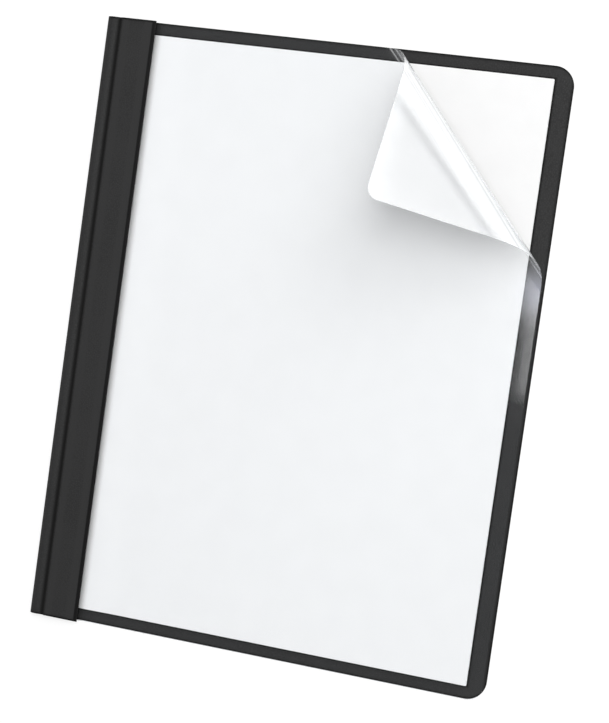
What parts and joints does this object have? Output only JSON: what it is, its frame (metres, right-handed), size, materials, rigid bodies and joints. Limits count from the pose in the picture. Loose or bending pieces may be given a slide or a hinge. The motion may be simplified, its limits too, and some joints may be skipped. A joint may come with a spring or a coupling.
{
  "type": "report cover",
  "caption": "Letter-size report cover: dark leatherette back folded over as a binding strip, clear front film with a curled corner, double prong fasteners and white pages.",
  "frame": {"origin": "middle of the underside of the closed cover, lying on its back", "axes": "+X from the spine to the free edge, +Y up the page, +Z out of the front cover"},
  "size_m": [0.2286, 0.2928, 0.0377],
  "materials": {
    "leatherette": "embossed, low sheen",
    "clear_film": "clear, glossy",
    "card_stock": "matte",
    "paper": "matte",
    "tinned_steel": "satin"
  },
  "bodies": {
    "back": {"back_cover": "leatherette", "fastener_strip": "card_stock", "report_pages": "paper", "fastener_top": "tinned_steel", "fastener_middle": "tinned_steel", "fastener_bottom": "tinned_steel"},
    "front": {"front_flap": "leatherette", "clear_front_cover": "clear_film"}
  },
  "joints": [
    {"name": "cover_hinge", "type": "hinge", "parent": "back", "child": "front", "pos_m": [-0.1143, 0, 0.00228], "axis": [0, -1, 0], "range_deg": [0, 165]}
  ]
}
